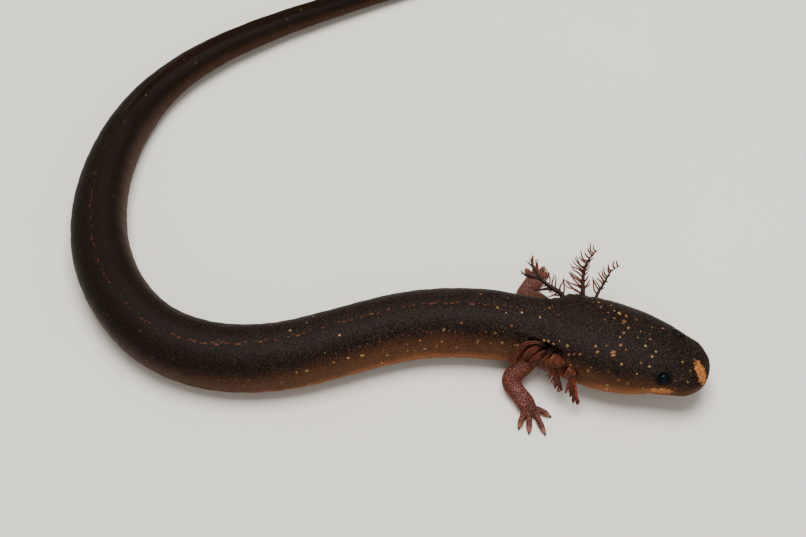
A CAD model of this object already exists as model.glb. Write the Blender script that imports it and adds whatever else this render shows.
"""The look of a young lesser siren, a still life-size model that lies on a plain pale floor.

Sizes are in millimetres until a mesh gets them, where MM brings them to metres. A station is the
distance along the body's axis from the snout. A turn is the angle round that axis from the middle
of the back, positive to the animal's left.
"""

import math
import random
from collections import namedtuple
from types import SimpleNamespace

import bpy
import numpy as np
from mathutils import Matrix, Vector, noise
from mathutils.bvhtree import BVHTree
from mathutils.kdtree import KDTree


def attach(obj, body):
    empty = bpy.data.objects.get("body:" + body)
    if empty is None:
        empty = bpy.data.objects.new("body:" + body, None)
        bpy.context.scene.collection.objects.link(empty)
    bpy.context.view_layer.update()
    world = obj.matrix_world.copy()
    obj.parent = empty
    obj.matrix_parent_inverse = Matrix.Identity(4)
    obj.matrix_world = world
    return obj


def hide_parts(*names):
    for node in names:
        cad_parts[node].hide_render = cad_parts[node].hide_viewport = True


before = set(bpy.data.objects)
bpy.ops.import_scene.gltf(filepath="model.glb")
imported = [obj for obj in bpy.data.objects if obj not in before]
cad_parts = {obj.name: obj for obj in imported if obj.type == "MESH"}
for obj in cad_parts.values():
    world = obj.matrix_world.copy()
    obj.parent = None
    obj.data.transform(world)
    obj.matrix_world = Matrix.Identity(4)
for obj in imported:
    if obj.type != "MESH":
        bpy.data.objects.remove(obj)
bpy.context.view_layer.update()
bpy.ops.object.select_all(action="DESELECT")

MM = 0.001
WELD = 1e-6

# Body, with the same sizes as its solids

# The frame's origin is on the floor under the middle of the outline, at this place of the knots' own.
OUTLINE_MIDDLE = (-2.34, 11.99)
# Each knot of the axis is x, y and height over the floor, from the snout to the tail's tip.
AXIS_KNOTS = (
    (34.95, -17.25, 4.10), (31.72, -16.20, 4.50), (27.22, -14.55, 4.55), (22.70, -13.03, 4.30),
    (18.18, -11.37, 3.90), (13.59, -10.34, 3.60), (8.96, -9.77, 3.55), (1.98, -9.89, 3.55),
    (-4.98, -11.59, 3.55), (-14.17, -14.19, 3.55), (-21.09, -14.29, 3.50), (-28.16, -11.70, 3.45),
    (-32.69, -7.02, 3.40), (-35.54, -0.94, 3.30), (-36.49, 7.92, 3.00), (-34.65, 17.12, 2.70),
    (-31.46, 23.76, 2.55), (-25.66, 29.86, 2.45), (-15.73, 35.83, 2.25), (-5.55, 40.25, 2.00),
    (5.60, 44.20, 1.40), (17.60, 47.20, 0.45),
)

# Station, half the width, rise of the back over the axis, height of the underside over the floor.
GIRTH = (
    (0.0, 3.05, 1.25, 2.65), (2.4, 3.58, 1.70, 2.25), (4.9, 4.20, 2.30, 1.85),
    (7.4, 4.76, 2.80, 1.35), (10.1, 5.20, 3.20, 0.85), (13.0, 5.35, 3.50, 0.45),
    (16.3, 5.00, 3.65, 0.10), (19.5, 4.35, 3.70, -0.10), (23.5, 3.95, 3.70, -0.20),
    (30.0, 3.82, 3.68, -0.22), (45.0, 3.75, 3.65, -0.22), (58.0, 3.75, 3.62, -0.22),
    (70.0, 3.62, 3.52, -0.22), (80.0, 3.45, 3.35, -0.22), (90.0, 3.02, 3.05, -0.20),
    (100.0, 2.38, 2.80, -0.16), (106.0, 2.08, 2.70, -0.10), (112.0, 1.86, 2.62, 0.00),
    (119.0, 1.62, 2.50, 0.00), (127.0, 1.36, 2.30, 0.00), (135.0, 1.14, 2.05, 0.00),
    (145.0, 0.84, 1.50, 0.00), (153.0, 0.55, 0.92, 0.00), (160.0, 0.25, 0.45, 0.00),
)
SNOUT_ROUNDING = 2.6
TAIL_ROUNDING = 1.2
BODY_SQUARENESS = 2.25
LEAN = ((0, 0), (18, 0), (30, -5), (52, 0), (62, 11), (92, 11), (104, 3), (120, 2), (160, 0))
UPPER_FIN = ((98.0, 0.0), (103.0, 0.55), (116.0, 1.0), (136.0, 0.95), (150.0, 0.62), (160.0, 0.36))
LOWER_FIN = ((101.0, 0.0), (106.0, 0.50), (116.0, 0.85), (136.0, 0.80), (150.0, 0.55), (160.0, 0.34))
FIN_HALF_THICKNESS = 0.2
# Station, and how far the low flank sags out where the soft body rests on the floor. The turns that
# follow are the sag's middle and half its breadth.
SAG = (
    (0.0, 0.0), (5.0, 0.0), (9.0, 0.25), (16.0, 0.10), (26.0, 0.27), (34.0, 0.33),
    (44.0, 0.25), (56.0, 0.23), (76.0, 0.0), (92.0, 0.0), (104.0, 0.22), (128.0, 0.22),
    (145.0, 0.08), (160.0, 0.0),
)
SAG_TURN = 112.0
SAG_SPREAD = 30.0

NECK_END = 23.7
VENT = 100.0
BODY_COLUMNS = 144
HEAD_ROW_STEP = 0.15
TORSO_ROW_STEP = 0.45
TAIL_ROW_STEP = 0.42
SNOUT_ROWS = 22

# Head
EYE_STATION = 4.65
EYE_SIDE = 3.05
EYE_RISE = 1.42
EYE_RADIUS = 0.52
MOUTH_CORNER = 5.3
MOUTH_DROP = 0.55
MOUTH_SLOPE = 0.08
NOSTRIL_STATION = 0.75
NOSTRIL_TURN = 52.0
NOSTRIL_RADIUS = 0.17
NOSTRIL_DEPTH = 0.26
SOCKET_DEPTH = 0.42
MOUTH_CREASE_DEPTH = 0.30
LIP_RISE = 0.10
JAW_INSET = 0.17

# Gill slits and the fold of skin over them, which is the upper rim of the hollow that they lie in.
SLIT_STATIONS = (15.75, 17.4, 19.1)
FOLD_TURN = 46.5
FOLD_FRONT = 15.95
FOLD_DROP = 26.0
LEFT_FOLD_TURN = 68.0
LEFT_FOLD_MIDDLE = 17.2
LEFT_FOLD_BOW = 1.4
LEFT_DIP_DEPTH = 0.95
LEFT_DIP_DEEPEST = 19.1
HOLLOW_START = 14.0
HOLLOW_END = 20.9
HOLLOW_DEPTH = 0.75
RIM_RISE = 0.12
SLIT_DEPTH = 0.25

# Between the forelegs and the vent the flanks have shallow upright grooves, one for each rib, and a
# furrow runs along the back. The tail has chevrons of muscle.
COSTAL_SPACING = 2.25
COSTAL_DEPTH = 0.04
FURROW_DEPTH = 0.035
CHEVRON_SPACING = 1.9
CHEVRON_DEPTH = 0.028

# Forelegs
LEGS = {
    "right": {
        "knots": (
            (15.7, -12.9, 3.1), (13.75, -15.1, 2.45), (12.5, -16.5, 1.5), (13.25, -17.9, 1.25),
            (14.15, -19.15, 0.98), (14.6, -19.9, 0.66), (14.85, -20.3, 0.5),
        ),
        "toes": (
            ((15.20, -19.5), (17.05, -20.5)), ((15.10, -20.0), (16.30, -22.85)),
            ((14.50, -20.2), (14.42, -22.75)), ((13.95, -19.9), (13.22, -22.15)),
        ),
    },
    "left": {
        "knots": (
            (17.0, -8.2, 3.1), (15.65, -6.2, 2.45), (14.45, -4.75, 1.5), (14.95, -3.55, 1.25),
            (15.6, -2.5, 0.98), (15.9, -1.85, 0.66), (16.05, -1.5, 0.5),
        ),
        "toes": (
            ((16.45, -2.05), (17.55, -0.75)), ((16.3, -1.6), (16.95, 0.2)),
            ((15.8, -1.55), (15.8, 0.3)), ((15.3, -1.75), (14.65, -0.1)),
        ),
    },
}
LIMB_HALF_WIDTHS = (1.22, 1.18, 1.14, 1.14, 1.0, 1.1, 0.85)
LIMB_HALF_HEIGHTS = (1.22, 1.18, 1.14, 1.12, 0.86, 0.6, 0.42)
TOE_RADII = (0.42, 0.36, 0.34, 0.36, 0.32, 0.2)
TOE_TIP_HEIGHT = 0.22
TOE_ROOT_HEIGHT = 0.55
TOE_BEND_HEIGHT = 0.56
CLAW_LENGTH = 0.34
CLAW_RADIUS = 0.15
LIMB_VOXEL = 0.085
JUNCTION_REACH = 0.5


def in_frame(point):
    return np.array((point[0] - OUTLINE_MIDDLE[0], point[1] - OUTLINE_MIDDLE[1], point[2]))


# Curves


def smooth_curve(knots):
    """Function from distances to points on the natural spline through the knots, and its length."""
    knots = np.array(knots, dtype=float)
    steps = np.linalg.norm(np.diff(knots, axis=0), axis=1)
    stations = np.concatenate(([0.0], np.cumsum(steps)))
    count = len(knots)
    matrix = np.eye(count)
    right_side = np.zeros_like(knots)
    for i in range(1, count - 1):
        before, after = steps[i - 1], steps[i]
        matrix[i, i - 1 : i + 2] = (before, 2 * (before + after), after)
        slope_change = (knots[i + 1] - knots[i]) / after - (knots[i] - knots[i - 1]) / before
        right_side[i] = 6 * slope_change
    bends = np.linalg.solve(matrix, right_side)

    def points(distances):
        distances = np.atleast_1d(np.asarray(distances, dtype=float))
        i = np.clip(np.searchsorted(stations, distances) - 1, 0, count - 2)
        late = ((distances - stations[i]) / steps[i])[:, None]
        early = 1 - late
        straight = early * knots[i] + late * knots[i + 1]
        bow = (early**3 - early) * bends[i] + (late**3 - late) * bends[i + 1]
        return straight + bow * steps[i][:, None] ** 2 / 6

    return points, float(stations[-1])


def smooth_table(rows):
    """Function from stations to the rows' other values, through the rows with no overshoot."""
    rows = np.array(rows, dtype=float)
    stations, values = rows[:, 0], rows[:, 1:]
    slopes = np.gradient(values, stations, axis=0)
    changes = np.diff(values, axis=0)
    for i in range(1, len(rows) - 1):
        slopes[i][changes[i - 1] * changes[i] <= 0] = 0

    def at(wanted):
        wanted = np.atleast_1d(np.asarray(wanted, dtype=float))
        i = np.clip(np.searchsorted(stations, wanted) - 1, 0, len(rows) - 2)
        step = stations[i + 1] - stations[i]
        t = np.clip((wanted - stations[i]) / step, 0, 1)[:, None]
        step = step[:, None]
        start = values[i] * (1 + 2 * t) * (1 - t) ** 2 + slopes[i] * step * t * (1 - t) ** 2
        end = values[i + 1] * t * t * (3 - 2 * t) + slopes[i + 1] * step * t * t * (t - 1)
        return start + end

    return at


def unit(vectors):
    lengths = np.linalg.norm(vectors, axis=-1, keepdims=True)
    return vectors / np.maximum(lengths, 1e-9)


def ramp(values, low, high):
    """0 below low, 1 above high and smooth between. The two may be given in falling order."""
    t = np.clip((np.asarray(values, dtype=float) - low) / (high - low), 0, 1)
    return t * t * (3 - 2 * t)


def band(values, start, full, full_end, end):
    """1 between full and full_end, 0 before start and after end, and smooth between."""
    return ramp(values, start, full) * ramp(values, end, full_end)


def bump(values, middle, half_width):
    return np.exp(-(((values - middle) / half_width) ** 2))


AXIS_CURVE, AXIS_LENGTH = smooth_curve([in_frame(knot) for knot in AXIS_KNOTS])
GIRTH_AT = smooth_table(GIRTH)
LEAN_AT = smooth_table(LEAN)
UPPER_FIN_AT = smooth_table(UPPER_FIN)
LOWER_FIN_AT = smooth_table(LOWER_FIN)
SAG_AT = smooth_table(SAG)


def ways_round(curve, distances, reach, sign=1, out=(0.0, 0.0, 1.0)):
    """Ways to the left and out along a curve that runs forward for sign 1."""
    ahead = unit(sign * (curve(distances + reach) - curve(distances - reach)))
    left = unit(np.cross(out, ahead))
    return left, np.cross(ahead, left)


def body_ways(stations):
    """Points of the axis, and the ways left and up the back there, with its lean."""
    left, up = ways_round(AXIS_CURVE, stations, 0.2, -1)
    lean = np.radians(LEAN_AT(stations))
    turned_left = left * np.cos(lean) + up * np.sin(lean)
    turned_up = up * np.cos(lean) - left * np.sin(lean)
    return AXIS_CURVE(stations), turned_left, turned_up


def power(values, exponent):
    return np.sign(values) * np.abs(values) ** exponent


def body_points(stations, turns):
    """Points of the plain body. The turns, in radians, are one row for each station."""
    at, left, up = body_ways(stations)
    half_width, rise, underside = GIRTH_AT(stations).T[:, :, None]
    drop = at[:, 2:3] - underside
    from_tip = np.maximum(AXIS_LENGTH - stations, 0.0)
    snout = np.sqrt(1 - np.clip(1 - stations / SNOUT_ROUNDING, 0, 1) ** 2)
    tail = np.sqrt(1 - np.clip(1 - from_tip / TAIL_ROUNDING, 0, 1) ** 2)
    rounding = (snout * tail)[:, None]
    upper_fin, lower_fin = UPPER_FIN_AT(stations), LOWER_FIN_AT(stations)
    across = power(np.sin(turns), 2 / BODY_SQUARENESS) * half_width
    along = power(np.cos(turns), 2 / BODY_SQUARENESS)
    blade = 1 / (1 + (np.abs(across) / FIN_HALF_THICKNESS) ** 3)
    upper = along * (rise - upper_fin) + blade * upper_fin
    lower = along * (drop - lower_fin) - blade * lower_fin
    height = np.where(along > 0, upper, lower)
    points = at[:, None] + left[:, None] * (across * rounding)[..., None]
    points = points + up[:, None] * (height * rounding)[..., None]
    points[..., 2] = np.maximum(points[..., 2], 0.0)
    return points


def outward(points, centre):
    """Ways out of a skin of rings, square to it."""
    round_way = np.roll(points, -1, axis=1) - np.roll(points, 1, axis=1)
    along_way = np.gradient(points, axis=0)
    normals = np.cross(round_way, along_way)
    away = np.sum(normals * (points - centre[:, None]), axis=-1, keepdims=True)
    return unit(normals * np.where(away < 0, -1, 1))


def surface_point(station, turn, lift=0.0):
    """One point of the plain body, or over it, with the turn in degrees."""
    turns = np.radians([[turn - 2, turn, turn + 2]] * 3)
    stations = np.array((station - 0.1, station, station + 0.1))
    points = body_points(stations, turns)
    normal = unit(np.cross(points[1, 2] - points[1, 0], points[2, 1] - points[0, 1]))
    if np.dot(normal, points[1, 1] - AXIS_CURVE(station)[0]) < 0:
        normal = -normal
    return points[1, 1] + normal * lift


# Relief of the skin: how far each point stands out of the plain body, or lies in it


def over_mouth(stations, rises, turns):
    """How far each point lies over the mouth's line, and 1 where there is a mouth, else 0."""
    fade = ramp(stations, MOUTH_CORNER + 0.7, MOUTH_CORNER - 0.4) * ramp(np.abs(turns), 60, 75)
    return rises + MOUTH_DROP + MOUTH_SLOPE * stations, fade


def mouth_relief(stations, rises, turns):
    """The line of the mouth, with the upper lip over it and the narrower lower jaw under it."""
    over, fade = over_mouth(stations, rises, turns)
    crease = -MOUTH_CREASE_DEPTH * bump(over, 0.0, 0.20)
    lip = LIP_RISE * bump(over, 0.40, 0.28)
    jaw = -JAW_INSET * band(over, -2.2, -0.8, -0.12, 0.0)
    corner_fold = -0.10 * bump(stations, MOUTH_CORNER + 0.5, 0.35) * bump(over, -0.3, 0.5)
    return (crease + lip + jaw) * fade + corner_fold


def eye_relief(points):
    """A socket that the eye fills, with a low ring of skin round it."""
    relief = 0.0
    for eye in EYE_PLACES.values():
        away = np.linalg.norm(points - eye["skin"], axis=-1)
        relief = relief - SOCKET_DEPTH * ramp(away, 0.52, 0.38) + 0.07 * bump(away, 0.66, 0.15)
        relief = relief - 0.05 * bump(away, 1.05, 0.25)
    return relief


def nostril_relief(points):
    relief = 0.0
    for turn in (NOSTRIL_TURN, -NOSTRIL_TURN):
        away = np.linalg.norm(points - surface_point(NOSTRIL_STATION, turn), axis=-1)
        relief = relief - NOSTRIL_DEPTH * ramp(away, NOSTRIL_RADIUS * 1.3, NOSTRIL_RADIUS * 0.5)
        relief = relief + 0.05 * bump(away, NOSTRIL_RADIUS * 1.8, 0.1)
    return relief


def fold_turn(stations, turns):
    """Turn of the fold's edge. The right one steps down over the front gill, the left is an arch."""
    tongue = 7.0 * bump(stations, FOLD_FRONT - 0.1, 0.25)
    right = FOLD_TURN + FOLD_DROP * ramp(stations, FOLD_FRONT + 0.45, FOLD_FRONT - 0.35) + tongue
    left = LEFT_FOLD_TURN + LEFT_FOLD_BOW * (stations - LEFT_FOLD_MIDDLE) ** 2
    return np.where(turns > 0, left, right)


def hollow_rear(turn):
    return HOLLOW_END + 1.1 * ramp(turn, FOLD_TURN, 85)


def hollow_mask(stations, turns):
    """1 in the hollow of the gills, under the fold, and 0 outside it."""
    turn = np.abs(turns)
    rear = hollow_rear(turn)
    top = fold_turn(stations, turns)
    inside = band(stations, HOLLOW_START - 0.3, HOLLOW_START + 0.5, rear - 0.28, rear + 0.12)
    return inside * band(turn, top - 1.0, top + 4.0, 92, 118)


def gill_relief(stations, turns):
    """The hollow behind the head, its fold's rim, the gill slits, and a dip behind the left gills."""
    turn = np.abs(turns)
    top, rear = fold_turn(stations, turns), hollow_rear(turn)
    deepest = 0.35 + 0.65 * bump(turn, top + 8, 13)
    hollow = -HOLLOW_DEPTH * deepest * hollow_mask(stations, turns)
    span = band(stations, HOLLOW_START - 0.4, HOLLOW_START + 0.6, HOLLOW_END, HOLLOW_END + 1.2)
    rim = RIM_RISE * bump(turn, top - 5, 5) * span
    rear_rim = RIM_RISE * bump(stations, rear + 0.4, 0.35) * band(turn, top, top + 12, 96, 112)
    slits = sum(bump(stations, slit, 0.16) for slit in SLIT_STATIONS)
    slits = -SLIT_DEPTH * slits * band(turn, 58, 68, 94, 108)
    deepest_at = LEFT_DIP_DEEPEST
    dip = band(stations, deepest_at - 1.4, deepest_at, deepest_at, deepest_at + 7.9)
    dip = -LEFT_DIP_DEPTH * dip * bump(turns, 62, 24)
    return hollow + rim + rear_rim + slits + dip


def trunk_relief(stations, turns):
    """Ribs' grooves on the flanks, a faint furrow along the back, a throat fold and low full flanks."""
    turn = np.abs(turns)
    trunk = band(stations, NECK_END + 1, NECK_END + 6, VENT - 4, VENT + 8)
    flank = band(turn, 32, 62, 115, 150)
    phase = (stations / COSTAL_SPACING + 0.04 * np.sin(turns / 9.0)) % 1.0
    ribs = -COSTAL_DEPTH * bump(phase, 0.5, 0.16) * trunk * flank
    furrow = -FURROW_DEPTH * bump(turns, 0.0, 4.5) * band(stations, 9, 16, VENT - 8, VENT)
    throat_fold = -0.06 * bump(stations, 13.9, 0.4) * ramp(turn, 70, 95)
    sag = SAG_AT(stations.ravel()) * bump(turn, SAG_TURN, SAG_SPREAD)
    return ribs + furrow + throat_fold + sag


def tail_relief(stations, turns):
    """Chevrons of muscle along the tail."""
    turn = np.abs(turns)
    sides = band(turn, 18, 45, 135, 162) * band(stations, VENT, VENT + 8, 150, 158)
    bent = stations - np.abs(turn - 90) / 32.0
    phase = (bent / CHEVRON_SPACING) % 1.0
    return -CHEVRON_DEPTH * bump(phase, 0.5, 0.18) * sides


def rough_relief(points):
    """The slight unevenness of soft flesh."""
    flat = [Vector(point) for point in points.reshape(-1, 3)]
    coarse = np.array([noise.noise(point * 0.45) for point in flat])
    fine = np.array([noise.noise(point * 1.7) for point in flat])
    return (0.045 * coarse + 0.018 * fine).reshape(points.shape[:2])


EYE_PLACES = {}


def place_eyes():
    """Finds the skin's point over each eye, and the way that the eye faces."""
    at, left, up = (way[0] for way in body_ways(np.array([EYE_STATION])))
    for turn in (1, -1):
        middle = at + left * turn * EYE_SIDE + up * EYE_RISE
        angles = np.radians(np.linspace(20, 80, 121)) * turn
        skin = body_points(np.array([EYE_STATION]), angles[None])[0]
        nearest = np.argmin(np.linalg.norm(skin - middle, axis=1))
        angle = float(np.degrees(angles[nearest]))
        way = unit(surface_point(EYE_STATION, angle, 1.0) - surface_point(EYE_STATION, angle))
        EYE_PLACES[turn] = {"skin": skin[nearest], "way": way}


# Meshes


def active_alone(made):
    bpy.ops.object.select_all(action="DESELECT")
    made.select_set(True)
    bpy.context.view_layer.objects.active = made


def edit(made, *steps):
    """Runs operators on all of a mesh in edit mode, each given as (operator, its settings)."""
    active_alone(made)
    bpy.ops.object.mode_set(mode="EDIT")
    for operator, settings in steps:
        operator(**settings)
    bpy.ops.object.mode_set(mode="OBJECT")


def apply_modifier(made, kind, **settings):
    active_alone(made)
    modifier = made.modifiers.new(kind.lower(), kind)
    for key, value in settings.items():
        setattr(modifier, key, value)
    bpy.ops.object.modifier_apply(modifier=modifier.name)


def write_attribute(made, name, values):
    attribute = made.data.attributes.new(name, "FLOAT_VECTOR", "POINT")
    attribute.data.foreach_set("vector", np.ascontiguousarray(values, dtype=np.float32).ravel())


def wrapped(name, rings, values=None):
    """A grid laid round a form: one row for each ring of points, its long sides sewn together."""
    rows, columns = rings.shape[:2]
    bpy.ops.mesh.primitive_grid_add(x_subdivisions=columns, y_subdivisions=rows - 1, size=1.0)
    made = bpy.context.object
    made.name = made.data.name = name
    places = np.empty(len(made.data.vertices) * 3)
    made.data.vertices.foreach_get("co", places)
    places = places.reshape(-1, 3)
    column = np.rint((places[:, 0] + 0.5) * columns).astype(int) % columns
    row = np.rint((places[:, 1] + 0.5) * (rows - 1)).astype(int)
    made.data.vertices.foreach_set("co", (rings[row, column] * MM).ravel())
    if values is not None:
        write_attribute(made, "plan", values[row, column])
    edit(
        made,
        (bpy.ops.mesh.select_all, {"action": "SELECT"}),
        (bpy.ops.mesh.remove_doubles, {"threshold": WELD}),
        (bpy.ops.mesh.normals_make_consistent, {"inside": False}),
    )
    return made


def joined(pieces, name):
    active_alone(pieces[0])
    for piece in pieces:
        piece.select_set(True)
    bpy.ops.object.join()
    made = bpy.context.object
    made.name = made.data.name = name
    return made


def vertex_places(made):
    places = np.empty(len(made.data.vertices) * 3)
    made.data.vertices.foreach_get("co", places)
    return places.reshape(-1, 3)


def finish_piece(made, materials, nodes):
    """Gives a piece its materials and smooth shading, and ties it to the frame."""
    for material in materials:
        made.data.materials.append(material)
    active_alone(made)
    bpy.ops.object.shade_smooth()
    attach(made, "root")
    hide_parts(*nodes)


def rounded_rings(knots, half_widths, half_heights, sides, step, out=(0.0, 0.0, 1.0)):
    """Rings along a curve, drawn in to a point at both ends. Their flat sides face the way out."""
    curve, length = smooth_curve(knots)
    cap = np.linspace(0, math.pi / 2, 9)
    first, last = half_heights[0], half_heights[-1]
    middle = np.arange(first, length - last, step)
    distances = np.concatenate(
        (first * (1 - np.cos(cap)), middle[1:], length - last * (1 - np.cos(cap[::-1])))
    )
    shares = np.linspace(0, length, len(half_widths))
    rounding = np.sqrt(1 - np.clip(1 - distances / first, 0, 1) ** 2)
    rounding = rounding * np.sqrt(1 - np.clip(1 - (length - distances) / last, 0, 1) ** 2)
    width = np.interp(distances, shares, half_widths) * rounding
    height = np.interp(distances, shares, half_heights) * rounding
    side, up = ways_round(curve, distances, 0.05, out=out)
    turns = np.linspace(0, 2 * math.pi, sides, endpoint=False)
    rings = curve(distances)[:, None] + side[:, None] * (np.cos(turns) * width[:, None])[..., None]
    return rings + up[:, None] * (np.sin(turns) * height[:, None])[..., None]


# Skin of the body, head, tail, fins and forelegs


def body_stations():
    snout = SNOUT_ROUNDING * (1 - np.cos(np.linspace(0, math.pi / 2, SNOUT_ROWS)))
    head = np.arange(SNOUT_ROUNDING, NECK_END, HEAD_ROW_STEP)[1:]
    torso = np.arange(NECK_END, VENT, TORSO_ROW_STEP)
    tail = np.arange(VENT, AXIS_LENGTH - TAIL_ROUNDING, TAIL_ROW_STEP)
    tip = AXIS_LENGTH - TAIL_ROUNDING * (1 - np.cos(np.linspace(math.pi / 2, 0, 7)))
    return np.concatenate((snout, head, torso, tail, tip))


def body_turns(stations):
    """Turns of the columns, in radians, crowded to the fins along the tail."""
    quarter = np.arange(BODY_COLUMNS) / BODY_COLUMNS * 4
    part = quarter % 1.0
    crowding = 1 + 0.5 * ramp(stations, VENT - 6, VENT + 12)[:, None]
    from_edge = part**crowding
    to_edge = 1 - (1 - part) ** crowding
    rising = np.where(quarter.astype(int) % 2 == 0, from_edge, to_edge)
    turns = (quarter.astype(int) + rising) * math.pi / 2
    return np.where(turns > math.pi, turns - 2 * math.pi, turns)


def make_body_skin():
    """The body with its relief. A point's plan is its station, its arc from the back, and its turn."""
    stations = body_stations()
    turns = body_turns(stations)
    points = body_points(stations, turns)
    at, _, up = body_ways(stations)
    degrees = np.degrees(turns)
    rises = np.sum((points - at[:, None]) * up[:, None], axis=-1)
    along = stations[:, None]
    relief = mouth_relief(along, rises, degrees) + eye_relief(points) + nostril_relief(points)
    relief = relief + gill_relief(along, degrees) + trunk_relief(along, degrees)
    relief = relief + tail_relief(along, degrees) + rough_relief(points)
    relief = relief * ramp(stations, 0.0, 0.25)[:, None]
    skin_points = points + outward(points, at) * relief[..., None]
    skin_points[..., 2] = np.maximum(skin_points[..., 2], 0.0)
    steps = np.linalg.norm(np.diff(points, axis=1), axis=-1)
    half = BODY_COLUMNS // 2
    arcs = np.zeros(turns.shape)
    arcs[:, 1 : half + 1] = np.cumsum(steps[:, :half], axis=1)
    last_step = np.linalg.norm(points[:, -1] - points[:, 0], axis=-1)[:, None]
    back_steps = np.concatenate((last_step, steps[:, : half : -1]), axis=1)
    arcs[:, : half : -1] = -np.cumsum(back_steps, axis=1)
    plan = np.stack((np.broadcast_to(along, turns.shape), arcs, np.abs(degrees) / 180), axis=-1)
    over, mouth = over_mouth(along, rises, degrees)
    mouth = mouth * bump(over, -0.03, 0.19)
    body = wrapped("siren_skin", skin_points)
    return body, skin_points.reshape(-1, 3), plan.reshape(-1, 3), mouth.ravel()


def toe_path(toe):
    """Knots of a toe's flesh, from inside the palm to where its claw begins, and the claw's tip."""
    root = in_frame((*toe[0], TOE_ROOT_HEIGHT))
    tip = in_frame((*toe[1], TOE_TIP_HEIGHT))
    bend = (root + tip) / 2
    bend[2] = TOE_BEND_HEIGHT
    flesh_end = tip - unit(tip - root) * CLAW_LENGTH * 0.6
    return root, bend, flesh_end, tip


def make_limb(side):
    leg = LEGS[side]
    knots = [in_frame(knot) for knot in leg["knots"]]
    pieces = [wrapped("limb", rounded_rings(knots, LIMB_HALF_WIDTHS, LIMB_HALF_HEIGHTS, 40, 0.12))]
    for toe in leg["toes"]:
        root, bend, flesh_end, _ = toe_path(toe)
        rings = rounded_rings((root, bend, flesh_end), TOE_RADII, TOE_RADII, 20, 0.08)
        pieces.append(wrapped("toe", rings))
    limb = joined(pieces, f"limb_{side}")
    apply_modifier(limb, "REMESH", mode="VOXEL", voxel_size=LIMB_VOXEL * MM)
    apply_modifier(limb, "SMOOTH", factor=0.5, iterations=5)
    places = vertex_places(limb)
    places[:, 2] = np.maximum(places[:, 2], 0.0)
    limb.data.vertices.foreach_set("co", places.ravel())
    return limb


def distances_to(tree, places):
    return np.array([tree.find_nearest(Vector(place))[3] for place in places]) / MM


def make_skin(material):
    body, body_places, plan, mouth = make_body_skin()
    limbs = [make_limb(side) for side in LEGS]
    depsgraph = bpy.context.evaluated_depsgraph_get()
    body_tree = BVHTree.FromObject(body, depsgraph)
    limb_trees = [BVHTree.FromObject(limb, depsgraph) for limb in limbs]
    for limb in limbs:
        apply_modifier(body, "BOOLEAN", operation="UNION", object=limb, solver="EXACT")
        bpy.data.objects.remove(limb)

    places = vertex_places(body)
    from_body = distances_to(body_tree, places)
    from_limb = np.minimum(*(distances_to(tree, places) for tree in limb_trees))
    junction = (from_body < JUNCTION_REACH) & (from_limb < JUNCTION_REACH)
    body.data.vertices.foreach_set("select", junction)
    body.data.edges.foreach_set("select", np.zeros(len(body.data.edges), bool))
    body.data.polygons.foreach_set("select", np.zeros(len(body.data.polygons), bool))
    bpy.context.tool_settings.mesh_select_mode = (True, False, False)
    edit(body, (bpy.ops.mesh.vertices_smooth, {"factor": 0.5, "repeat": 14}))

    places = vertex_places(body)
    tree = KDTree(len(body_places))
    for index, place in enumerate(body_places):
        tree.insert(Vector(place), index)
    tree.balance()
    nearest = np.array([tree.find(Vector(place / MM))[1] for place in places])
    normals = np.empty(len(places) * 3)
    body.data.vertex_normals.foreach_get("vector", normals)
    under = (1 - normals.reshape(-1, 3)[:, 2]) / 2
    limb = ramp(distances_to(body_tree, places), 0.05, 1.0)
    toe_tips = [toe_path(toe)[3] for leg in LEGS.values() for toe in leg["toes"]]
    to_tip = np.min([np.linalg.norm(places / MM - tip, axis=1) for tip in toe_tips], axis=0)
    palms = [in_frame(leg["knots"][-2]) for leg in LEGS.values()]
    to_palm = np.min([np.linalg.norm(places / MM - palm, axis=1) for palm in palms], axis=0)
    nearest_plan = plan[nearest]
    turns = np.copysign(nearest_plan[:, 2] * 180, nearest_plan[:, 1])
    hollow = hollow_mask(nearest_plan[:, 0], turns) * (1 - limb)
    fin = ramp(nearest_plan[:, 0], VENT, VENT + 10) * ramp(np.abs(nearest_plan[:, 2] - 0.5), 0.40, 0.49)
    write_attribute(body, "plan", nearest_plan)
    write_attribute(body, "marks", np.stack((limb, under, fin), axis=1))
    palm_shade = 0.7 * ramp(to_palm, 1.5, 0.6)
    write_attribute(body, "spots", np.stack((hollow, ramp(to_tip, 1.1, 0.45), palm_shade), axis=1))
    write_attribute(body, "mouth", np.repeat(mouth[nearest, None], 3, axis=1))
    nodes = [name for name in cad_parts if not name.startswith(("eye", "gill"))]
    finish_piece(body, [material], nodes)


# Eyes and claws


def make_eyes(material):
    for turn, side in ((1, "left"), (-1, "right")):
        place = EYE_PLACES[turn]
        middle = Vector(place["skin"] - place["way"] * EYE_RADIUS * 0.62) * MM
        facing = Vector(place["way"]).to_track_quat("Z", "Y")
        bpy.ops.mesh.primitive_uv_sphere_add(segments=48, ring_count=32, radius=EYE_RADIUS * MM)
        eye = bpy.context.object
        eye.name = eye.data.name = f"eyeball_{side}"
        edit(
            eye,
            (bpy.ops.mesh.select_all, {"action": "SELECT"}),
            (bpy.ops.transform.resize, {"value": (1.0, 1.0, 0.9)}),
        )
        flat = vertex_places(eye) / MM
        from_axis = np.hypot(flat[:, 0], flat[:, 1])
        write_attribute(eye, "plan", np.repeat(from_axis[:, None], 3, axis=1))
        eye.data.transform(facing.to_matrix().to_4x4())
        eye.data.transform(Matrix.Translation(middle))
        finish_piece(eye, [material], [f"eye_{side}"])


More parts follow.
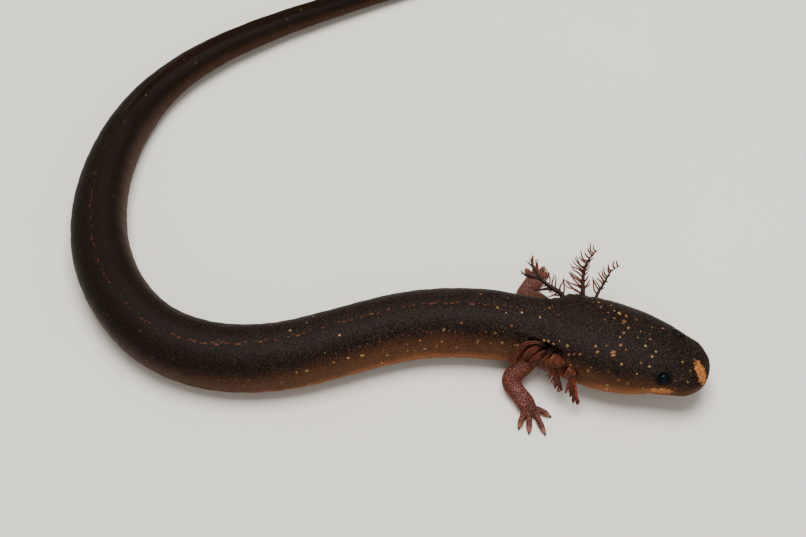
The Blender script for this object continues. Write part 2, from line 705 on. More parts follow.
def make_claws(material):
    for side, leg in LEGS.items():
        claws = []
        for toe in leg["toes"]:
            _, bend, flesh_end, tip = toe_path(toe)
            way = unit(tip - bend)
            way[2] = -0.25
            way = unit(way)
            start = flesh_end - way * 0.12
            rings = rounded_rings(
                (start, start + way * CLAW_LENGTH * 0.6, start + way * CLAW_LENGTH + (0, 0, -0.05)),
                (CLAW_RADIUS, CLAW_RADIUS * 0.95, CLAW_RADIUS * 0.55),
                (CLAW_RADIUS, CLAW_RADIUS * 0.9, CLAW_RADIUS * 0.45),
                12,
                0.05,
            )
            rings[..., 2] = np.maximum(rings[..., 2], 0.02)
            claws.append(wrapped("claw", rings))
        made = joined(claws, f"claws_{side}")
        finish_piece(made, [material], [])


# Gills

# A stalk runs from inside the neck to its tip, and a branch leaves it on the way. A comb is the way
# its filaments point, how many there are, where on the stalk the first and last stand, how long the
# first is, how far the filaments lean towards the stalk's tip, and how broad they are. Leaves of the
# right gills lie along the flank, so each of their knots is a station, a turn and a lift over the skin.
Comb = namedtuple("Comb", "way count first last longest lean breadth")
Leaf = namedtuple("Leaf", "half_width knots")
Gill = namedtuple("Gill", "skins stalk radii combs branches leaves", defaults=((), ()))
GILLS = {
    "gill_left_front": Gill(
        skins=("dark_gill_stalk", "red_gill_filament"),
        stalk=(
            (22.1, -8.3, 4.6), (22.75, -6.75, 5.4), (23.52, -5.64, 5.9),
            (24.23, -4.57, 6.4), (25.29, -4.0, 6.7),
        ),
        radii=(0.20, 0.19, 0.15, 0.10, 0.04),
        combs=(
            Comb((-0.70, 0.62, 0.30), 11, 0.26, 0.95, 2.1, 0.3, 0.9),
            Comb((0.80, 0.20, -0.40), 4, 0.40, 0.80, 0.6, 0.5, 0.9),
        ),
    ),
    "gill_left_middle": Gill(
        skins=("dark_gill_stalk", "red_gill_filament"),
        stalk=(
            (20.8, -8.5, 4.4), (20.93, -6.6, 5.5), (21.0, -5.07, 6.2),
            (21.44, -3.65, 6.9), (22.64, -2.23, 7.4),
        ),
        radii=(0.30, 0.28, 0.20, 0.14, 0.04),
        combs=(
            Comb((-0.90, 0.35, 0.10), 17, 0.20, 0.97, 2.9, 0.35, 0.9),
            Comb((0.80, 0.35, 0.20), 9, 0.26, 0.90, 1.7, 0.6, 0.9),
        ),
    ),
    "gill_left_rear": Gill(
        skins=("dark_gill_stalk", "red_gill_filament"),
        stalk=(
            (19.1, -8.4, 4.7), (18.3, -6.95, 5.4), (17.11, -6.17, 5.7),
            (15.84, -5.1, 6.15), (14.75, -3.0, 7.0),
        ),
        radii=(0.32, 0.30, 0.23, 0.15, 0.04),
        branches=(
            ((15.6, -4.75, 6.25), (15.03, -3.95, 6.6), (14.35, -3.35, 6.8)),
            ((16.4, -5.6, 5.95), (15.03, -4.95, 6.0), (13.66, -4.4, 5.8)),
            ((15.7, -5.1, 6.0), (14.6, -4.9, 5.8), (13.65, -3.9, 5.8)),
            ((17.5, -6.45, 5.6), (16.3, -6.35, 5.3), (15.18, -6.18, 4.9)),
        ),
        combs=(
            Comb((-0.65, -0.55, -0.35), 9, 0.18, 0.52, 1.6, 0.4, 0.9),
            Comb((0.15, 0.90, 0.30), 12, 0.20, 0.92, 2.8, 0.15, 0.9),
        ),
    ),
    "gill_right_front": Gill(
        skins=("red_gill_vessel", "mottled_gill_leaf"),
        stalk=(
            (19.3, -15.7, 4.9), (19.15, -16.7, 5.5), (19.22, -17.4, 5.4), (19.45, -17.95, 4.9),
            (19.6, -18.4, 4.1), (19.72, -18.95, 3.45), (19.88, -19.45, 2.95), (20.2, -19.8, 2.5),
        ),
        radii=(0.20, 0.22, 0.22, 0.20, 0.18, 0.15, 0.11, 0.05),
        leaves=(
            Leaf(0.58, ((14.65, -69, 0.05), (14.5, -72, 0.6), (14.6, -79, 0.7), (14.95, -89, 0.6))),
        ),
        combs=(
            Comb((-0.55, -0.35, -0.75), 8, 0.44, 0.95, 2.2, 0.2, 2.2),
            Comb((-0.62, -0.42, -0.65), 9, 0.48, 0.97, 1.6, 0.4, 0.8),
        ),
    ),
    "gill_right_middle": Gill(
        skins=("mottled_gill_stalk", "mottled_gill_leaf"),
        stalk=(
            (17.6, -14.6, 4.9), (17.2, -15.7, 5.45), (17.1, -16.3, 5.0), (17.2, -16.85, 4.35),
            (17.55, -17.25, 3.85), (17.85, -17.75, 3.2), (18.25, -18.35, 2.55),
        ),
        radii=(0.34, 0.38, 0.40, 0.40, 0.36, 0.26, 0.10),
        leaves=(
            Leaf(0.34, ((17.75, -64, 0.0), (18.1, -70, 0.5), (18.5, -78, 0.6), (19.2, -100, 0.5))),
            Leaf(0.30, ((17.35, -65, 0.1), (17.75, -77, 0.7), (18.15, -95, 0.6))),
            Leaf(0.86, ((16.55, -58, 0.1), (16.35, -61, 0.6), (16.35, -67, 0.8), (16.35, -74, 0.75))),
        ),
        combs=(
            Comb((-0.75, -0.50, -0.45), 8, 0.46, 0.96, 1.5, 0.3, 1.2),
            Comb((0.55, -0.40, -0.60), 5, 0.50, 0.90, 0.7, 0.5, 0.9),
        ),
    ),
    "gill_right_rear": Gill(
        skins=("mottled_gill_stalk", "mottled_gill_leaf"),
        stalk=(
            (16.9, -13.8, 5.0), (16.4, -14.4, 6.0), (15.75, -14.45, 6.6), (15.0, -14.4, 6.75),
            (14.2, -14.4, 6.5), (13.35, -14.55, 5.85), (12.75, -14.8, 5.0), (12.3, -15.1, 3.9),
        ),
        radii=(0.20, 0.20, 0.19, 0.17, 0.15, 0.12, 0.09, 0.04),
        leaves=(
            Leaf(0.34, ((20.1, -51, 0.0), (21.2, -57, 0.4), (21.9, -72, 0.4), (22.2, -92, 0.35))),
            Leaf(0.50, ((19.15, -57, 0.0), (20.1, -64, 0.5), (20.8, -76, 0.55), (21.1, -92, 0.5))),
            Leaf(0.46, ((18.4, -60, 0.0), (19.3, -72, 0.55), (20.0, -87, 0.6), (20.4, -105, 0.5))),
        ),
        combs=(
            Comb((-0.20, 0.25, 0.75), 10, 0.30, 0.90, 0.45, 0.5, 0.9),
            Comb((-0.12, -0.68, -0.72), 5, 0.72, 0.97, 1.8, 0.3, 1.2),
        ),
    ),
}
# Filaments are thin leaves, wide in the plane of their comb.
FILAMENT_HALF_WIDTHS = (0.12, 0.12, 0.11, 0.095, 0.075, 0.04)
FILAMENT_HALF_HEIGHTS = (0.09, 0.08, 0.07, 0.06, 0.05, 0.035)
LEAF_WIDTH_SHARES = (0.55, 0.85, 1.0, 1.0, 0.85, 0.45)
LEAF_HALF_HEIGHTS = (0.12, 0.12, 0.11, 0.10, 0.09, 0.06)
FLANK_OUT = (0.0, -0.85, 0.5)
BRANCH_RADII = (0.17, 0.16, 0.14, 0.11, 0.08, 0.03)
FILAMENT_SHORTENING = 0.55
FILAMENT_DROOP = 0.10
STRAND_STEP = 0.08


def strand(name, knots, half_widths, half_heights, sides, material, out=(0.0, 0.0, 1.0)):
    """A stalk, branch, leaf or filament. Its plan holds the share of its length and its rim."""
    rings = rounded_rings(knots, half_widths, half_heights, sides, STRAND_STEP, out)
    rows = np.linspace(0, 1, len(rings))[:, None]
    rim = np.abs(np.cos(np.linspace(0, 2 * math.pi, sides, endpoint=False)))[None]
    values = np.stack(np.broadcast_arrays(rows, rim, np.zeros((1, 1))), axis=-1)
    made = wrapped(name, rings, values)
    made.data.materials.append(material)
    return made


def filament_knots(base, tangent, way, length, lean, draw):
    """A filament leaves its stalk sideways, sways once, curves towards the stalk's tip and droops."""
    way = unit(way + np.array([draw.uniform(-0.22, 0.22) for _ in range(3)]))
    out = unit(way + tangent * lean * 0.4)
    bent = unit(way + tangent * lean * 2.4)
    sway = unit(np.cross(tangent, way)) * length * draw.uniform(-0.08, 0.08)
    sway = sway + tangent * length * draw.uniform(-0.10, 0.10)
    knots = []
    for t in (0.0, 0.25, 0.5, 0.75, 1.0):
        place = base + out * length * t * (1 - t * 0.5) + bent * length * 0.5 * t * t
        place = place + sway * math.sin(t * math.pi * 1.7)
        knots.append(place - np.array((0, 0, FILAMENT_DROOP * length * t * t)))
    return knots


def comb_strands(comb, curve, length, material, draw):
    strands = []
    spacing = (comb.last - comb.first) / comb.count
    for i in range(comb.count):
        share = i / (comb.count - 1)
        place = comb.first + (comb.last - comb.first) * share + draw.uniform(-0.3, 0.3) * spacing
        distance = place * length
        tangent = unit(curve(distance + 0.1) - curve(distance - 0.1))[0]
        reach = comb.longest * (1 - FILAMENT_SHORTENING * share) * draw.uniform(0.72, 1.08)
        way = unit(np.array(comb.way))
        knots = filament_knots(curve(distance)[0], tangent, way, reach, comb.lean * (1 + share), draw)
        widths = np.array(FILAMENT_HALF_WIDTHS) * comb.breadth * draw.uniform(0.8, 1.15)
        plane = np.cross(tangent, way)
        strands.append(strand("filament", knots, widths, FILAMENT_HALF_HEIGHTS, 12, material, plane))
    return strands


def make_gill(name, plan, stalk_material, filament_material, draw):
    knots = [in_frame(knot) for knot in plan.stalk]
    pieces = [strand("stalk", knots, plan.radii, plan.radii, 20, stalk_material)]
    for branch in plan.branches:
        branch_knots = [in_frame(knot) for knot in branch]
        pieces.append(strand("branch", branch_knots, BRANCH_RADII, BRANCH_RADII, 14, stalk_material))
    for leaf in plan.leaves:
        leaf_knots = [surface_point(*knot) for knot in leaf.knots]
        widths = leaf.half_width * np.array(LEAF_WIDTH_SHARES)
        pieces.append(
            strand("leaf", leaf_knots, widths, LEAF_HALF_HEIGHTS, 24, filament_material, FLANK_OUT),
        )
    curve, length = smooth_curve(knots)
    for comb in plan.combs:
        pieces += comb_strands(comb, curve, length, filament_material, draw)
    made = joined(pieces, name + "_plume")
    finish_piece(made, [], [name])


# Materials


def colour(hex_value):
    """Linear colour from an sRGB hex value."""
    parts = [int(hex_value[i : i + 2], 16) / 255 for i in (1, 3, 5)]
    return (*(p / 12.92 if p <= 0.04045 else ((p + 0.055) / 1.055) ** 2.4 for p in parts), 1.0)


def node(tree, kind, inputs=None, out=0, **settings):
    """Adds a node, sets it, fills or links its inputs, and gives the wanted output."""
    made = tree.nodes.new("ShaderNode" + kind)
    for key, value in settings.items():
        setattr(made, key, value)
    for key, value in (inputs or {}).items():
        if isinstance(value, bpy.types.NodeSocket):
            tree.links.new(value, made.inputs[key])
        else:
            made.inputs[key].default_value = value
    return made.outputs[out] if made.outputs else None


def new_material(name):
    material = bpy.data.materials.new(name)
    material.use_nodes = True
    tree = material.node_tree
    tree.nodes.clear()
    return material, tree


def finish_material(tree, shader_inputs):
    shader = node(tree, "BsdfPrincipled", shader_inputs)
    node(tree, "OutputMaterial", {"Surface": shader})


def only_where(tree, mask, *others):
    """A mask that shows only where the others do, or as strongly as a number says."""
    for other in others:
        mask = node(tree, "Math", {0: mask, 1: other}, operation="MULTIPLY")
    return mask


def painted(tree, base, *layers):
    """Lays (cover, colour) layers over a base. A colour is a hex value or a pattern."""
    for cover, over in layers:
        under, over = (colour(paint) if isinstance(paint, str) else paint for paint in (base, over))
        base = node(tree, "MixRGB", {"Fac": cover, "Color1": under, "Color2": over})
    return base


def mesh_values(tree, name):
    """The three values that the mesh carries under this name."""
    vector = node(tree, "Attribute", attribute_name=name, attribute_type="GEOMETRY", out="Vector")
    return node(tree, "SeparateXYZ", {0: vector}).node.outputs


def place_in_millimetres(tree):
    metres = node(tree, "TexCoord", out="Object")
    return node(tree, "VectorMath", {0: metres, "Scale": 1 / MM}, operation="SCALE")


def fleck_mask(tree, skin, cell, reach, chance):
    """Spots from cells: reach is the distance from a cell's middle in radii of its spot."""
    draws = node(tree, "SeparateColor", {0: cell}).node.outputs
    size = node(tree, "MapRange", {"Value": draws[1], "To Min": 0.45, "To Max": 1.2})
    scaled = node(tree, "Math", {0: reach, 1: size}, operation="DIVIDE")
    uneven = node(tree, "Math", {0: skin.wobble, 1: 2.8, 2: scaled}, operation="MULTIPLY_ADD")
    limits = {"Value": uneven, "From Min": 1.5, "From Max": 0.65}
    spot = node(tree, "MapRange", limits, interpolation_type="SMOOTHSTEP")
    strength = node(tree, "MapRange", {"Value": draws[2], "To Min": 0.35, "To Max": 1.0})
    present = node(tree, "Math", {0: draws[0], 1: chance}, operation="LESS_THAN")
    return only_where(tree, spot, strength, present)


def spot_row(tree, skin, along, aside, spacing, half_length, half_width, chance, seed):
    """Mask of spots in a line, by the way along the line and the way aside from it, in millimetres."""
    place = node(tree, "Math", {0: along, 1: 1 / spacing, 2: seed}, operation="MULTIPLY_ADD")
    look = {"W": place, "Scale": 1.0, "Randomness": 0.8}
    cell = node(tree, "TexVoronoi", look, voronoi_dimensions="1D")
    cell_colour = cell.node.outputs["Color"]
    draws = node(tree, "SeparateColor", {0: cell_colour}).node.outputs
    shift = node(tree, "Math", {0: draws[2], 1: 0.5}, operation="SUBTRACT")
    shifted = node(tree, "Math", {0: shift, 1: half_width * 3.4, 2: aside}, operation="MULTIPLY_ADD")
    length = node(tree, "Math", {0: cell, 1: spacing / half_length}, operation="MULTIPLY")
    width = node(tree, "Math", {0: shifted, 1: half_width}, operation="DIVIDE")
    apart = node(tree, "CombineXYZ", {0: length, 1: width})
    reach = node(tree, "VectorMath", {0: apart}, out="Value", operation="LENGTH")
    return fleck_mask(tree, skin, cell_colour, reach, chance)


def scattered_spots(tree, skin, place, spacing, radius, chance):
    look = {"Vector": place, "Scale": 1 / spacing, "Randomness": 0.9}
    cell = node(tree, "TexVoronoi", look, voronoi_dimensions="2D")
    reach = node(tree, "Math", {0: cell, 1: spacing / radius}, operation="MULTIPLY")
    return fleck_mask(tree, skin, cell.node.outputs["Color"], reach, chance)


def patch_mask(tree, place, middle, half_sizes, turn, wobble):
    """Mask of an uneven patch about a point of the skin, turned about the upright by an angle."""
    where = {"Location": tuple(middle), "Rotation": (0.0, 0.0, turn), "Scale": half_sizes}
    local = node(tree, "Mapping", {"Vector": place, **where}, vector_type="TEXTURE")
    reach = node(tree, "VectorMath", {0: local}, out="Value", operation="LENGTH")
    uneven = node(tree, "Math", {0: wobble, 1: 1.8, 2: reach}, operation="MULTIPLY_ADD")
    limits = {"Value": uneven, "From Min": 1.10, "From Max": 0.80}
    return node(tree, "MapRange", limits, interpolation_type="SMOOTHSTEP")


# Scale, detail and roughness of the skin's noises, by the millimetre. Pigment cells are 0.1 to
# 0.25 mm across, the wobble frays the spots' rims, the rough edge the patches' rims, and the clouds
# shift the colours over several millimetres.
SKIN_NOISES = {
    "grain": (6.4, 3.0, 0.62),
    "wobble": (8.0, 3.0, 0.7),
    "clouds": (0.35, 3.0, 0.55),
    "rough_edge": (2.2, 5.0, 0.75),
}
# What a ramp of the skin's paint reads, where it starts and ends, and its values there.
SKIN_RAMPS = {
    "behind": ("station", 45.0, 70.0, 0.0, 0.75),
    "head_shift": ("station", 15.0, 10.0, 0.0, 0.09),
    "tail_shift": ("station", 80.0, 104.0, 0.0, 0.09),
    "trunk_shift": ("station", 36.0, 64.0, 0.0, 0.09),
    "on_head": ("station", 15.0, 10.0, 0.0, 0.14),
    "past_lip": ("station", 2.2, 4.2, 0.0, 1.0),
    "on_trunk": ("station", 20.0, 26.0, 0.0, 1.0),
    "before_vent": ("station", 98.0, 90.0, 0.0, 1.0),
    "fainter_behind": ("station", 58.0, 72.0, 0.5, 0.2),
    "fewer_behind": ("station", 58.0, 46.0, 0.15, 1.0),
    "neck_start": ("station", 10.9, 11.2, 0.0, 1.0),
    "neck_end": ("station", 16.6, 16.2, 0.0, 1.0),
    "fold_start": ("station", 15.9, 16.2, 0.0, 1.0),
    "fold_end": ("station", 18.6, 18.2, 0.0, 1.0),
    "strewn_chance": ("station", 20.0, 30.0, 0.32, 0.05),
    "off_snout": ("station", 0.9, 5.0, 0.0, 0.8),
    "head_reach": ("out_arc", 3.2, 2.9, 0.0, 1.0),
    "light_grain": ("grain", 0.52, 0.66, 0.0, 1.0),
    "grain_light": ("grain", 0.35, 0.65, 0.45, 1.45),
    "speckle": ("grain", 0.40, 0.58, 0.0, 1.0),
    "net_gaps": ("grain", 0.30, 0.44, 0.0, 1.0),
    "roughness": ("grain", 0.3, 0.7, 0.48, 0.62),
    "greyer": ("wobble", -0.08, 0.10, 0.0, 0.65),
    "fleck_hue": ("clouds", 0.42, 0.58, 0.0, 1.0),
    "smudge": ("rough_edge", 0.14, 0.26, 0.0, 0.3),
    "net": ("specks", 0.04, 0.11, 0.0, 1.0),
    "leg_top": ("under", 0.20, 0.03, 0.0, 1.0),
    "leg_underside": ("under", 0.46, 0.70, 0.0, 0.85),
}
# Millimetres of skin for a degree of turn at the gills' fold, and how far its flecks stand over it.
FOLD_ARC = 0.085
FLECKS_OVER_FOLD = 0.25


def skin_values(tree):
    """What the skin's paint reads: the mesh's values, the noises, and the ramps on both."""
    skin = SimpleNamespace(place=place_in_millimetres(tree))
    skin.station, skin.arc, skin.turn = mesh_values(tree, "plan")
    skin.limb, skin.under, skin.fin = mesh_values(tree, "marks")
    skin.hollow, skin.toe_tip, skin.palm = mesh_values(tree, "spots")
    skin.mouth = mesh_values(tree, "mouth")[0]
    for name, (scale, detail, roughness) in SKIN_NOISES.items():
        look = {"Vector": skin.place, "Scale": scale, "Detail": detail, "Roughness": roughness}
        vars(skin)[name] = node(tree, "TexNoise", look)
    for name in ("wobble", "rough_edge"):
        vars(skin)[name] = node(tree, "Math", {0: vars(skin)[name], 1: 0.5}, operation="SUBTRACT")
    for name, scale in (("cells", 4.8), ("specks", 3.9)):
        look = {"Vector": skin.place, "Scale": scale, "Randomness": 1.0}
        vars(skin)[name] = node(tree, "TexVoronoi", look, feature="DISTANCE_TO_EDGE")
    skin.out_arc = node(tree, "Math", {0: skin.arc}, operation="ABSOLUTE")
    skin.left = node(tree, "Math", {0: skin.arc, 1: 0.0}, operation="GREATER_THAN")
    # The two sides draw their spots from far apart, so they differ.
    apart = {0: skin.left, 1: 371.0, 2: skin.station}
    skin.along_side = node(tree, "Math", apart, operation="MULTIPLY_ADD")
    for name, (source, low, high, start, end) in SKIN_RAMPS.items():
        limits = {"From Min": low, "From Max": high, "To Min": start, "To Max": end}
        vars(skin)[name] = node(tree, "MapRange", {"Value": vars(skin)[source], **limits})
    skin.fleck_colour = painted(tree, "#99683f", (skin.fleck_hue, "#ab9661"))
    return skin


def back_colours(tree, skin):
    """The near-black back, with lighter and greyer grains, is plainer behind."""
    back = node(tree, "ValToRGB", {"Fac": skin.grain})
    stops = back.node.color_ramp.elements
    stops[0].position, stops[0].color = 0.38, colour("#070403")
    stops[1].position, stops[1].color = 0.70, colour("#3f2a20")
    stops.new(0.52).color = colour("#150d09")
    grey = only_where(tree, skin.greyer, skin.light_grain)
    return painted(tree, back, (grey, "#3a332f"), (skin.behind, "#120a05"))


def flank_colours(tree, skin, base):
    """The flank turns brown and then tan down to the greyer belly. Smudges and the fins' rim follow."""
    drift = node(tree, "Math", {0: skin.clouds, 1: 0.10, 2: skin.turn}, operation="MULTIPLY_ADD")
    shifts = node(tree, "Math", {0: skin.head_shift, 1: skin.tail_shift}, operation="ADD")
    shifts = node(tree, "Math", {0: shifts, 1: skin.trunk_shift}, operation="ADD")
    down = node(tree, "Math", {0: drift, 1: shifts}, operation="SUBTRACT")
    on_head = only_where(tree, skin.on_head, skin.past_lip)
    further_down = node(tree, "Math", {0: down, 1: on_head}, operation="ADD")
    brown_down = node(tree, "Math", {0: shifts, 1: -0.2, 2: drift}, operation="MULTIPLY_ADD")
    for depth, low, high, blend, front, rear in (
        (brown_down, 0.30, 0.56, "SMOOTHSTEP", "#50311e", "#2a1a11"),
        (further_down, 0.545, 0.65, "SMOOTHSTEP", "#7b4926", "#3f2817"),
        (down, 0.66, 0.82, "LINEAR", "#5b4637", "#3a2c23"),
    ):
        limits = {"Value": depth, "From Min": low, "From Max": high}
        cover = node(tree, "MapRange", limits, interpolation_type=blend)
        band_colour = painted(tree, front, (skin.behind, rear))
        grained = {0: band_colour, "Scale": skin.grain_light}
        base = painted(tree, base, (cover, node(tree, "VectorMath", grained, operation="SCALE")))
    # The smudges are a faint lilac grey, and the fins let a little light through at their rim.
    return painted(tree, base, (skin.smudge, "#3b3331"), (only_where(tree, skin.fin, 0.5), "#28170c"))


def trunk_spots(tree, skin):
    """Layers of spots in rows along the back's middle and along the flank's sense organs."""
    midline = spot_row(tree, skin, skin.station, skin.arc, 0.62, 0.24, 0.095, 0.72, 3.0)
    midline = only_where(tree, midline, skin.on_trunk, skin.before_vent, skin.fainter_behind)
    layers = [(midline, "#7d4830")]
    on_front = only_where(tree, skin.on_trunk, skin.fewer_behind)
    for row_arc, spacing, half_length, half_width, seed, paint in (
        (3.55, 0.75, 0.10, 0.09, 11.0, "#6d3e35"),
        (4.6, 1.5, 0.15, 0.12, 23.0, skin.fleck_colour),
        (5.7, 1.3, 0.13, 0.104, 41.0, skin.fleck_colour),
    ):
        aside = node(tree, "Math", {0: skin.out_arc, 1: row_arc}, operation="SUBTRACT")
        sizes = (spacing, half_length, half_width, 0.5, seed)
        dots = spot_row(tree, skin, skin.along_side, aside, *sizes)
        layers.append((only_where(tree, dots, on_front), paint))
    return layers


def front_spots(tree, skin):
    """Layers of tan rows on head and neck, strewn cream flecks, and flecks along the right fold."""
    bow = node(tree, "Math", {0: skin.out_arc, 1: 3.0}, operation="POWER")
    row_station = node(tree, "Math", {0: bow, 1: 0.03, 2: 10.2}, operation="MULTIPLY_ADD")
    from_row = node(tree, "Math", {0: skin.station, 1: row_station}, operation="SUBTRACT")
    head_row = spot_row(tree, skin, skin.arc, from_row, 0.80, 0.21, 0.18, 0.9, 7.3)
    head_row = only_where(tree, head_row, skin.head_reach)
    slant = node(tree, "Math", {0: skin.station, 1: -0.4, 2: 1.86}, operation="MULTIPLY_ADD")
    from_row = node(tree, "Math", {0: skin.out_arc, 1: slant}, operation="ADD")
    neck_row = spot_row(tree, skin, skin.along_side, from_row, 1.0, 0.17, 0.14, 0.62, 19.0)
    neck_row = only_where(tree, neck_row, skin.neck_start, skin.neck_end)
    rows = node(tree, "Math", {0: head_row, 1: neck_row}, operation="MAXIMUM")
    flat_place = node(tree, "CombineXYZ", {0: skin.station, 1: skin.arc})
    strewn = scattered_spots(tree, skin, flat_place, 1.05, 0.13, skin.strewn_chance)
    strewn = only_where(tree, strewn, skin.fewer_behind, skin.off_snout)
    over_fold = {0: skin.turn, 1: 180 * FOLD_ARC, 2: FLECKS_OVER_FOLD - FOLD_TURN * FOLD_ARC}
    from_fold = node(tree, "Math", over_fold, operation="MULTIPLY_ADD")
    rim_flecks = spot_row(tree, skin, skin.along_side, from_fold, 0.75, 0.20, 0.12, 0.75, 57.0)
    right = node(tree, "Math", {0: skin.arc, 1: 0.0}, operation="LESS_THAN")
    rim_flecks = only_where(tree, rim_flecks, skin.fold_start, skin.fold_end, right)
    return [(rows, "#9a673e"), (strewn, skin.fleck_colour), (rim_flecks, "#a47850")]


def head_marks(tree, skin):
    """Layers of the pale snout and lip, the plain black skin about each eye, gill hollow and mouth."""
    pale_patches = [
        patch_mask(tree, skin.place, surface_point(*middle), half_sizes, turn, skin.rough_edge)
        for middle, half_sizes, turn in (
            ((1.0, -14), (0.66, 1.62, 1.3), 0.42),
            ((4.6, -86), (1.75, 1.0, 0.42), 0.28),
        )
    ]
    pale = node(tree, "Math", dict(enumerate(pale_patches)), operation="MAXIMUM")
    layers = [(pale, painted(tree, "#643a1f", (skin.speckle, "#b0713b")))]
    for eye in EYE_PLACES.values():
        near_eye = patch_mask(tree, skin.place, eye["skin"], (1.1, 0.85, 0.9), 0.3, skin.wobble)
        layers.append((near_eye, "#080605"))
    # The hollow is nearly black under its fold and red-brown below, and its fold is lower on the left.
    under_fold = node(tree, "Math", {0: skin.left, 1: -0.09, 2: skin.turn}, operation="MULTIPLY_ADD")
    lit = node(tree, "MapRange", {"Value": under_fold, "From Min": 0.345, "From Max": 0.43})
    layers.append((skin.hollow, painted(tree, "#24160f", (lit, "#542418"))))
    return layers + [(only_where(tree, skin.mouth, 0.8), "#1a0f0a")]


def leg_colours(tree, skin):
    """Thin purplish-brown skin under a net of dark specks, pale below and at the toes' tips."""
    return painted(
        tree,
        "#744033",
        (skin.leg_top, "#794c45"),
        (skin.palm, "#56362b"),
        (only_where(tree, skin.net, skin.net_gaps, 0.95), "#26130f"),
        (skin.leg_underside, "#8f5128"),
        (only_where(tree, skin.toe_tip, 0.7), "#8f6452"),
    )


def make_skin_material():
    """Moist skin of a siren: near-black, with a grain of pigment cells that leaves a soft sheen."""
    material, tree = new_material("moist_siren_skin")
    skin = skin_values(tree)
    base = flank_colours(tree, skin, back_colours(tree, skin))
    base = painted(tree, base, *trunk_spots(tree, skin), *front_spots(tree, skin))
    base = painted(tree, base, *head_marks(tree, skin), (skin.limb, leg_colours(tree, skin)))
    relief = node(tree, "Bump", {"Height": skin.grain, "Strength": 0.55, "Distance": 0.06 * MM})
    cell_look = {"Height": skin.cells, "Strength": 0.35, "Distance": 0.05 * MM, "Normal": relief}
    thin = node(tree, "Math", {0: skin.limb, 1: skin.fin}, operation="MAXIMUM")
    soft = node(tree, "MapRange", {"Value": thin, "To Min": 0.04, "To Max": 0.18})
    finish_material(
        tree,
        {
            "Base Color": base,
            "Roughness": skin.roughness,
            "Normal": node(tree, "Bump", cell_look),
            "IOR": 1.36,
            "Specular IOR Level": 0.12,
            "Subsurface Weight": soft,
            "Subsurface Radius": (1.0, 0.42, 0.22),
            "Subsurface Scale": 0.2 * MM,
        },
    )
    return material


def make_eye_material():
    """Clear wet cover over a blue-black eye: dark, with one small sharp highlight."""
    material, tree = new_material("wet_blue_black_eye")
    from_axis = mesh_values(tree, "plan")[0]
    look = {"Vector": place_in_millimetres(tree), "Scale": 14.0, "Detail": 2.0}
    iris_colour = painted(tree, "#05070a", (node(tree, "TexNoise", look), "#0e151d"))
    iris = node(tree, "MapRange", {"Value": from_axis, "From Min": 0.20, "From Max": 0.24})
    rim = node(tree, "MapRange", {"Value": from_axis, "From Min": 0.36, "From Max": 0.44})
    eye_colour = painted(tree, "#030406", (iris, iris_colour), (rim, "#07090c"))
    finish_material(
        tree,
        {"Base Color": eye_colour, "Roughness": 0.24, "IOR": 1.34, "Specular IOR Level": 0.18},
    )
    return material


def make_claw_material():
    """Black horn of the toes' tips, worn dull."""
    material, tree = new_material("black_horn")
    metres = node(tree, "TexCoord", out="Object")
    streaks = node(tree, "TexNoise", {"Vector": metres, "Scale": 9000.0, "Detail": 2.0})
    horn = painted(tree, "#0c0806", (streaks, "#2a1c16"))
    finish_material(tree, {"Base Color": horn, "Roughness": 0.38, "IOR": 1.54})
    return material


# Two mottled colours, the rim's and the root's, how much light sinks in, and where the root's ends.
GILL_SKINS = {
    # Thick skin full of pigment, which looks black.
    "dark_gill_stalk_skin": ("#0f0806", "#2c1812", "#1c100c", "#0f0806", 0.03, 0.12),
    # Hair-thin skin over blood, which looks red.
    "red_gill_filament_skin": ("#3a180e", "#692c18", "#8a4526", "#38170e", 0.15, 0.12),
    # Pigment in patches over blood, which looks a mottled brown.
    "mottled_gill_stalk_skin": ("#2a120b", "#4f2416", "#7d4629", "#060303", 0.10, 0.26),
    # Bare skin over a full vessel, the brightest red.
    "red_gill_vessel_skin": ("#54150a", "#7d2b18", "#b87a50", "#160d0a", 0.15, 0.38),
    # Flat leaves with a pale, thin rim.
    "mottled_gill_leaf_skin": ("#2b120b", "#5a2717", "#8a532f", "#1d0c08", 0.10, 0.12),
}


def make_gill_material(name, dark, light, edge, root, soft, bare):
    """Thin wet gill skin, red with blood where it is thin. The root's colour ends past bare."""
    material, tree = new_material(name)
    along, across, _ = mesh_values(tree, "plan")
    look = {"Vector": place_in_millimetres(tree), "Scale": 3.6, "Detail": 3.0, "Roughness": 0.6}
    grain = node(tree, "TexNoise", look)
    mottle = node(tree, "MapRange", {"Value": grain, "From Min": 0.38, "From Max": 0.64})
    rim_limits = {"Value": across, "From Min": 0.84, "From Max": 0.98, "To Min": 0.0, "To Max": 0.6}
    rim = node(tree, "MapRange", rim_limits)
    at_root = node(tree, "MapRange", {"Value": along, "From Min": bare + 0.16, "From Max": bare})
    skin = painted(tree, dark, (mottle, light), (rim, edge), (at_root, root))
    finish_material(
        tree,
        {
            "Base Color": skin,
            "Roughness": 0.5,
            "Normal": node(tree, "Bump", {"Height": grain, "Strength": 0.4, "Distance": 0.03 * MM}),
            "IOR": 1.38,
            "Subsurface Weight": soft,
            "Specular IOR Level": 0.25,
            "Subsurface Radius": (1.0, 0.25, 0.12),
            "Subsurface Scale": 0.15 * MM,
        },
    )
    return material


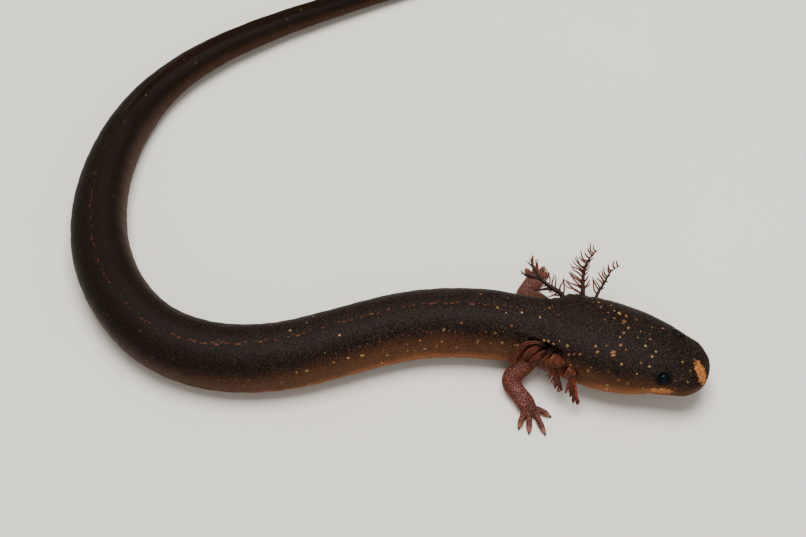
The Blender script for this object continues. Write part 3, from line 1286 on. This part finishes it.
def make_floor_material():
    """Pale painted board, dull and even."""
    material, tree = new_material("pale_matt_board")
    metres = node(tree, "TexCoord", out="Object")
    mottle = node(tree, "TexNoise", {"Vector": metres, "Scale": 35.0, "Detail": 3.0})
    paint = painted(tree, "#dcd8cf", (mottle, "#e2dfd8"))
    finish_material(tree, {"Base Color": paint, "Roughness": 0.8})
    return material


# Studio

CAMERA_PLACE = (2.34, -158.335, 225.351)
CAMERA_TILT = 33.0
CAMERA_LENS = 100.0
CAMERA_SENSOR = 36.0


def add_area_light(name, place, size, power, tint):
    light_data = bpy.data.lights.new(name, "AREA")
    light_data.size = size
    light_data.energy = power
    light_data.color = tint
    light = bpy.data.objects.new(name, light_data)
    light.location = place
    light.rotation_euler = (-Vector(place)).to_track_quat("-Z", "Y").to_euler()
    bpy.context.scene.collection.objects.link(light)


def make_studio():
    bpy.ops.mesh.primitive_plane_add(size=1.6)
    floor = bpy.context.object
    floor.name = "studio_floor"
    floor.data.materials.append(make_floor_material())
    add_area_light("overhead_softbox", (0.0, 0.05, 0.50), 0.30, 4.2, (1.0, 0.98, 0.95))
    add_area_light("front_fill", (0.15, -0.45, 0.30), 0.40, 0.7, (1.0, 0.97, 0.93))
    world = bpy.data.worlds.new("studio")
    world.use_nodes = True
    background = world.node_tree.nodes["Background"]
    background.inputs["Color"].default_value = (0.92, 0.90, 0.87, 1.0)
    background.inputs["Strength"].default_value = 0.42
    bpy.context.scene.world = world
    camera_data = bpy.data.cameras.new("camera")
    camera_data.lens = CAMERA_LENS
    camera_data.sensor_width = CAMERA_SENSOR
    camera_data.clip_start = 0.01
    camera = bpy.data.objects.new("camera", camera_data)
    camera.location = Vector(CAMERA_PLACE) * MM
    camera.rotation_euler = (math.radians(CAMERA_TILT), 0.0, 0.0)
    bpy.context.scene.collection.objects.link(camera)
    bpy.context.scene.camera = camera


def main():
    place_eyes()
    make_skin(make_skin_material())
    make_eyes(make_eye_material())
    make_claws(make_claw_material())
    skins = {name: make_gill_material(name, *look) for name, look in GILL_SKINS.items()}
    draw = random.Random(5)
    for name, plan in GILLS.items():
        make_gill(name, plan, *(skins[f"{kind}_skin"] for kind in plan.skins), draw)
    make_studio()


main()
